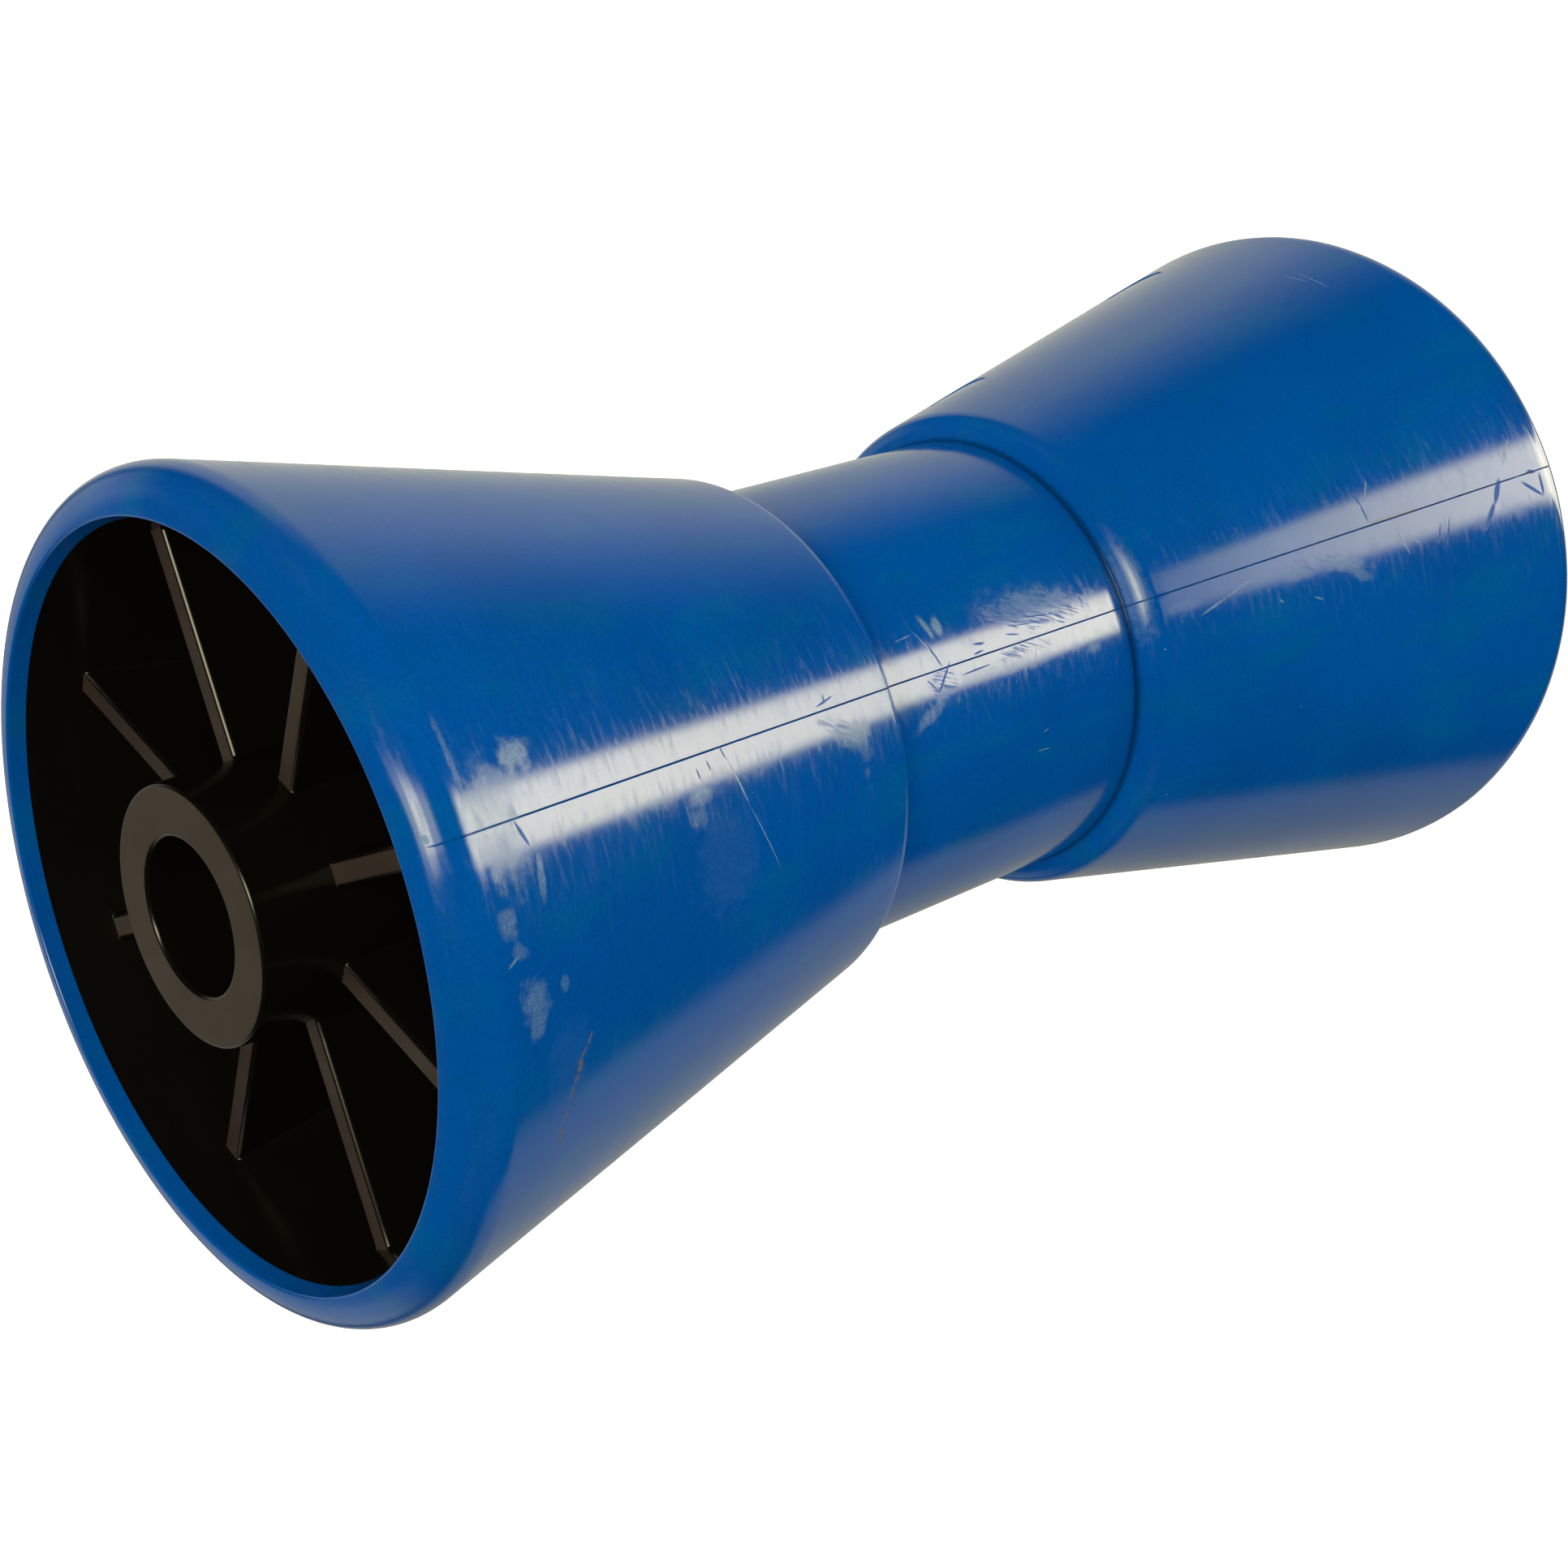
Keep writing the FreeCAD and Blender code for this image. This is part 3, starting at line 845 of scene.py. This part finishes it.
DULL_STROKES = {
    "near_drip_line": (1.0, 190.2, -2.6, 189.0, 0.4),
    "near_nick_a": (-0.1, 160.7, -1.8, 160.4, 0.25),
    "near_nick_b": (1.5, 158.0, -0.9, 157.6, 0.25),
    "near_nick_c": (-0.6, 162.6, -2.5, 162.4, 0.25),
    "near_v_a": (2.0, 140.2, 3.1, 136.4, 0.3),
    "near_v_b": (2.1, 138.4, 4.0, 138.1, 0.25),
    "waist_cross_a": (-0.3, 116.2, -2.9, 115.1, 0.3),
    "waist_cross_b": (2.5, 111.5, -4.3, 115.0, 0.35),
    "waist_cross_c": (8.1, 114.4, 1.3, 113.1, 0.3),
    "waist_ring_a": (4.2, 107.0, 3.6, 105.0, 0.5),
    "waist_ring_b": (1.8, 107.5, 2.2, 105.5, 0.4),
    "waist_low_mark": (-1.8, 110.4, -1.5, 105.0, 0.35),
    "waist_hatch_a": (7.0, 99.0, 5.0, 91.5, 0.25),
    "waist_hatch_b": (4.0, 101.1, 3.0, 98.9, 0.3),
    "waist_hatch_c": (5.6, 100.5, 4.4, 95.0, 0.2),
    "waist_nick": (7.2, 86.4, 5.4, 85.9, 0.25),
    "far_curve_top": (8.2, 40.5, 5.2, 39.8, 0.4),
    "far_curve_foot": (5.6, 39.9, 1.5, 39.5, 0.3),
    "far_nick_a": (-2.4, 27.5, -6.0, 28.6, 0.3),
    "far_nick_b": (-2.0, 25.7, -6.9, 27.3, 0.3),
    "far_stroke_top": (2.0, 15.0, -2.4, 17.2, 0.9),
    "far_stroke_foot": (-1.8, 17.0, -6.2, 20.0, 0.8),
    "far_v_a": (0.2, 11.5, -3.4, 7.9, 0.5),
    "far_v_b": (-3.4, 7.9, 0.7, 7.7, 0.5),
    "far_v_c": (1.5, 9.8, 0.9, 8.4, 0.5),
}
# Gouges along the parting line; their dark colour is painted shade.
SHADED_SEAM_GOUGES = {
    "far_gouge_top": (1.3, 40.0, 1.5, 34.0, 0.55),
    "far_gouge_foot": (1.5, 35.5, 1.1, 29.0, 0.4),
    "waist_pit": (1.5, 119.3, 0.8, 118.4, 0.45),
    "near_thickening": (1.1, 171.5, 1.1, 167.0, 0.3),
    "end_nick": (1.2, 11.0, 0.9, 8.0, 0.35),
}
BROWN_SCRATCH = ((-28.0, 184.2), (-29.8, 184.9), (-30.9, 185.9), (-33.1, 186.1), (-34.2, 186.8),
                 (-37.1, 187.3), (-40.0, 187.9), (-43.5, 187.9))
BROWN_WIDTHS = (0.3, 0.35, 0.95, 0.75, 0.35, 0.3, 0.5, 0.2)

# Half sizes of a stroke's oval as shares of its length and width, and where in an oval,
# from its middle to its edge, a stroke and a patch fade.
STROKE_LENGTH_SHARE = 0.55
STROKE_WIDTH_SHARE = 0.6
STROKE_EDGE = (0.6, 1.0)
PATCH_EDGE = (0.4, 1.2)


def lay_flat(tree, azimuth, height):
    """The skin as a flat sheet: distance round a middling radius, and height."""
    inputs = {"X": multiply(tree, azimuth, FLAT_RADIUS), "Y": height}
    return add_node(tree, "ShaderNodeCombineXYZ", inputs).outputs[0]


def reach_in_oval(tree, flat, middle, half_sizes, tilt):
    """Distance from an oval's middle, which is one at its edge."""
    inputs = {"Vector": flat, "Location": (*middle, 0), "Rotation": (0, 0, tilt),
              "Scale": (*half_sizes, 1)}
    own = add_node(tree, "ShaderNodeMapping", inputs, vector_type="TEXTURE").outputs[0]
    return add_node(tree, "ShaderNodeVectorMath", {0: own}, operation="LENGTH").outputs["Value"]


def combine(tree, operation, values):
    """The largest or smallest of some numbers."""
    chosen = values[0]
    for value in values[1:]:
        chosen = calculate(tree, operation, chosen, value)
    return chosen


def stroke_mask(tree, flat, strokes):
    """One inside any of some thin tapering strokes."""
    reaches = []
    for start_azimuth, start_height, end_azimuth, end_height, width in strokes:
        start = np.array((math.radians(start_azimuth) * FLAT_RADIUS, start_height * MM))
        end = np.array((math.radians(end_azimuth) * FLAT_RADIUS, end_height * MM))
        run = end - start
        half_sizes = (STROKE_LENGTH_SHARE * np.linalg.norm(run), STROKE_WIDTH_SHARE * width * MM)
        tilt = math.atan2(run[1], run[0])
        reaches.append(reach_in_oval(tree, flat, (start + end) / 2, half_sizes, tilt))
    return ease(tree, combine(tree, "MINIMUM", reaches), *STROKE_EDGE, 1, 0)


def patch_mask(tree, flat, ragged, patches):
    """The strength of any of some patches, whose edges a noise makes ragged."""
    masks = []
    for azimuth, height, around, along, tilt, strength in patches:
        middle = (math.radians(azimuth) * FLAT_RADIUS, height * MM)
        reach = reach_in_oval(tree, flat, middle, (around * MM, along * MM), math.radians(tilt))
        masks.append(ease(tree, calculate(tree, "ADD", reach, ragged), *PATCH_EDGE, strength, 0))
    return combine(tree, "MAXIMUM", masks)


def hatch_noise(tree, flat, angle, length, spacing):
    """Noise drawn out into lines on the flat skin, at an angle to the way round."""
    inputs = {"Vector": flat, "Rotation": (0, 0, angle), "Scale": (length, spacing, 1)}
    lines = add_node(tree, "ShaderNodeMapping", inputs, vector_type="TEXTURE").outputs[0]
    return add_noise(tree, lines, 1.0, 1.0)


# Colours and gloss of the cover, and where the painted shade along its parting
# line and at the waist's root fades.
BLUE = (0.0, 0.082, 0.48, 1.0)
TEAL = (0.0, 0.096, 0.445, 1.0)
HAZE_AND_GLINT = (0.31, 0.49, 0.60, 1.0)
# Painted shade for the parting line's groove and for the waist's root.
GROOVE_SHADE = (0.0, 0.03, 0.13, 1.0)
BROWN = (0.13, 0.095, 0.075, 1.0)
SPECK = (0.55, 0.65, 0.72, 1.0)
SEAM_FADING = (END - 4.5 * MM, END - 2.0 * MM)
SEAM_PALING = (0.132, 0.145, 0.62, 0.42)
# Painted shade: a dark band on the waist where it meets the shoulder's step.
ROOT_SHADE_MIDDLE = WAIST_END - 0.4 * MM
ROOT_SHADE_REACH = (0.3 * MM, 0.8 * MM)
ROOT_SHADE_RADII = (WAIST_RADIUS + 0.05 * MM, WAIST_RADIUS + 0.6 * MM)
POLISHED = 0.10
STREAK_ROUGHNESS = 0.13
HAZE_ROUGHNESS = 0.3
HATCH_ROUGHNESS = 0.4
DULL_ROUGHNESS = 0.5
BROWN_STRENGTH = (0.2, 0.8)

# Textures of the blue: noise scales, for streaks those round the roller and along it.
STREAK_SCALES = (9, 1300)
BROAD_STREAK_SCALES = (5, 260)
SMEAR_SCALES = (7, 60)
GRAIN_SCALE = 2600.0
CLOUD_SCALE = 45.0
RAGGED_SCALE = 600.0
RAGGEDNESS = 1.6
HATCH_ANGLE = math.radians(58)
HATCH_LENGTH = 4.0 * MM
HATCH_SPACING = 0.31 * MM
SPECK_SCALE = 300.0
SPECK_EDGE = (0.018, 0.034)
SPECK_RARITY = 0.9
SPECK_STRENGTH = 0.7
SEAM_LINE_HALF_WIDTHS = (0.06 * MM, 0.12 * MM)
SEAM_END_STRENGTH = 0.15
ROOT_SHADE_STRENGTH = 0.65
HAZE_AND_GLINT_COLOURING = 0.38
STREAK_RISE = 0.25
BLUE_BUMP = {"Strength": 0.35, "Distance": 0.02 * MM}


def make_blue():
    """Glossy soft blue plastic with fine streaks round it, rubbed patches, scratches, specks, painted
    shade along its parting line and waist root, and a painted glint.
    """
    material = bpy.data.materials.new("blue_soft_plastic")
    material.use_nodes = True
    tree = material.node_tree
    shader = tree.nodes["Principled BSDF"]
    point, parts = object_place(tree)
    height = parts["Z"]
    azimuth, radius, ring = round_coordinates(tree, parts)
    flat = lay_flat(tree, azimuth, height)

    streaks = add_noise(tree, stretched(tree, ring, height, *STREAK_SCALES), 1.0, 4.0, 0.8)
    broad = add_noise(tree, stretched(tree, ring, height, *BROAD_STREAK_SCALES), 1.0, 2.0)
    grain = add_noise(tree, point, GRAIN_SCALE, 2.0)
    ragged = calculate(tree, "SUBTRACT", add_noise(tree, point, RAGGED_SCALE, 4.0), 0.5)
    ragged = multiply(tree, ragged, RAGGEDNESS)
    hatching = hatch_noise(tree, flat, HATCH_ANGLE, HATCH_LENGTH, HATCH_SPACING)

    haze_and_glint = patch_mask(tree, flat, ragged, HAZE_PATCHES.values())
    haze_and_glint = multiply(tree, haze_and_glint, ease(tree, grain, 0.35, 0.65, 0.7, 1))
    hatched = patch_mask(tree, flat, ragged, HATCHED_PATCHES.values())
    hatched = multiply(tree, hatched, ease(tree, hatching, 0.46, 0.58))
    # Pale scratches, and the painted glint on the rim, join the haze.
    light = stroke_mask(tree, flat, PALE_STROKES_AND_GLINT.values())
    light = multiply(tree, light, ease(tree, grain, 0.35, 0.6, 0.45, 0.8))
    haze_and_glint = calculate(tree, "MAXIMUM", haze_and_glint, light)
    dull = stroke_mask(tree, flat, DULL_STROKES.values())
    pairs = zip(BROWN_SCRATCH[:-1], BROWN_SCRATCH[1:], BROWN_WIDTHS)
    brown = stroke_mask(tree, flat, [start + end + (width,) for start, end, width in pairs])
    brown = multiply(tree, brown, ease(tree, grain, 0.3, 0.6, *BROWN_STRENGTH))
    dull = calculate(tree, "MAXIMUM", dull, brown)

    # Painted shade: the parting line's groove and its gouges are darkened in the colour.
    from_seam = calculate(tree, "SINE", calculate(tree, "SUBTRACT", azimuth, COVER_TURN))
    from_seam = calculate(tree, "ABSOLUTE", multiply(tree, from_seam, radius))
    seam_edge = ease(tree, broad, 0.35, 0.7, *SEAM_LINE_HALF_WIDTHS)
    seam_shade = calculate(tree, "LESS_THAN", from_seam, seam_edge)
    seam_shade = calculate(tree, "MAXIMUM", seam_shade, stroke_mask(tree, flat, SHADED_SEAM_GOUGES.values()))
    from_middle = calculate(tree, "ABSOLUTE", calculate(tree, "SUBTRACT", height, MIDDLE))
    fading = ease(tree, from_middle, *SEAM_FADING, 1, SEAM_END_STRENGTH)
    seam_shade = multiply(tree, seam_shade, fading, ease(tree, height, *SEAM_PALING))
    # Painted shade at the waist's root, darkest next to the step.
    from_root = calculate(tree, "ABSOLUTE", calculate(tree, "SUBTRACT", from_middle, ROOT_SHADE_MIDDLE))
    root_shade = multiply(tree, ease(tree, from_root, *ROOT_SHADE_REACH, ROOT_SHADE_STRENGTH, 0),
                         ease(tree, radius, *ROOT_SHADE_RADII, 1, 0))

    inputs = {"Vector": point, "Scale": SPECK_SCALE, "Randomness": 1.0}
    specks = add_node(tree, "ShaderNodeTexVoronoi", inputs)
    chosen = add_node(tree, "ShaderNodeSeparateColor", {0: specks.outputs["Color"]}).outputs
    near_middle = ease(tree, specks.outputs["Distance"], *SPECK_EDGE, 1, 0)
    rare = calculate(tree, "GREATER_THAN", chosen[0], SPECK_RARITY)
    speck = multiply(tree, near_middle, rare, SPECK_STRENGTH)

    clouds = add_noise(tree, point, CLOUD_SCALE, 3.0)
    tone = multiply(tree, ease(tree, clouds, 0.3, 0.7, 0.94, 1.06),
                    ease(tree, grain, 0.3, 0.7, 0.92, 1.08))
    smears = add_noise(tree, stretched(tree, ring, height, *SMEAR_SCALES), 1.0, 4.0)
    colour = add_mix(tree, ease(tree, smears, 0.47, 0.7), BLUE, TEAL)
    toned = add_node(tree, "ShaderNodeVectorMath", {0: colour, "Scale": tone}, operation="SCALE")
    colour = add_mix(tree, multiply(tree, haze_and_glint, HAZE_AND_GLINT_COLOURING), toned.outputs[0], HAZE_AND_GLINT)
    colour = add_mix(tree, speck, colour, SPECK)
    colour = add_mix(tree, brown, colour, BROWN)
    colour = add_mix(tree, calculate(tree, "MAXIMUM", seam_shade, root_shade), colour, GROOVE_SHADE)
    tree.links.new(colour, shader.inputs["Base Color"])

    rough_streaks = multiply(tree, ease(tree, streaks, 0.45, 0.7), STREAK_ROUGHNESS)
    roughness = calculate(tree, "ADD", POLISHED, rough_streaks)
    for mask, added in ((haze_and_glint, HAZE_ROUGHNESS), (hatched, HATCH_ROUGHNESS), (dull, DULL_ROUGHNESS)):
        roughness = calculate(tree, "ADD", roughness, multiply(tree, mask, added))
    tree.links.new(roughness, shader.inputs["Roughness"])

    rise = calculate(tree, "ADD", multiply(tree, streaks, STREAK_RISE), broad)
    bump = add_node(tree, "ShaderNodeBump", {**BLUE_BUMP, "Height": rise})
    tree.links.new(bump.outputs[0], shader.inputs["Normal"])
    return material


# Colours, gloss and textures of the core.
BLACK_GLOSS = (0.004, 0.0035, 0.003, 1.0)
BLACK_SATIN = (0.038, 0.0285, 0.029, 1.0)
GLOSS_ROUGHNESS = 0.16
SATIN_ROUGHNESS = 0.42
CLOUD_ROUGHNESS = 0.08
DARKER_SATIN = tuple(0.8 * part for part in BLACK_SATIN)
FACE_REACH = 12 * MM
FACING_UP = (0.93, 0.99)
FINE_SCALE = 1800.0
CLOUDY_SCALE = 160.0
CLOUDY_RISE = 0.5
BLACK_BUMP = {"Strength": 0.4, "Distance": 0.03 * MM}


def make_black():
    """Glossy black moulding, satin on the faces of the hub and the ribs."""
    material = bpy.data.materials.new("black_moulding")
    material.use_nodes = True
    tree = material.node_tree
    shader = tree.nodes["Principled BSDF"]
    point, parts = object_place(tree)
    from_middle = calculate(tree, "ABSOLUTE", calculate(tree, "SUBTRACT", parts["Z"], MIDDLE))
    at_ends = calculate(tree, "GREATER_THAN", from_middle, HUB_END - FACE_REACH)
    normal = add_node(tree, "ShaderNodeNewGeometry").outputs["Normal"]
    upright = add_node(tree, "ShaderNodeSeparateXYZ", {0: normal}).outputs["Z"]
    face = multiply(tree, ease(tree, calculate(tree, "ABSOLUTE", upright), *FACING_UP), at_ends)

    fine = add_noise(tree, point, FINE_SCALE, 3.0)
    cloudy = add_noise(tree, point, CLOUDY_SCALE, 3.0)
    satin = add_mix(tree, ease(tree, cloudy, 0.3, 0.7), BLACK_SATIN, DARKER_SATIN)
    colour = add_mix(tree, face, BLACK_GLOSS, satin)
    tree.links.new(colour, shader.inputs["Base Color"])
    roughness = multiply(tree, face, SATIN_ROUGHNESS - GLOSS_ROUGHNESS)
    roughness = calculate(tree, "ADD", GLOSS_ROUGHNESS, roughness)
    roughness = calculate(tree, "ADD", roughness, multiply(tree, cloudy, CLOUD_ROUGHNESS))
    tree.links.new(roughness, shader.inputs["Roughness"])
    rise = calculate(tree, "ADD", multiply(tree, fine, face), multiply(tree, cloudy, CLOUDY_RISE))
    bump = add_node(tree, "ShaderNodeBump", {**BLACK_BUMP, "Height": rise})
    tree.links.new(bump.outputs[0], shader.inputs["Normal"])
    return material


bpy.context.scene.view_settings.view_transform = "Standard"
make_camera()
make_surroundings()
make_fill_lights()
make_stage()
add_piece("cover_skin", make_cover_mesh(), "cover", make_blue())
add_piece("core_moulding", make_core_mesh(), "core", make_black())
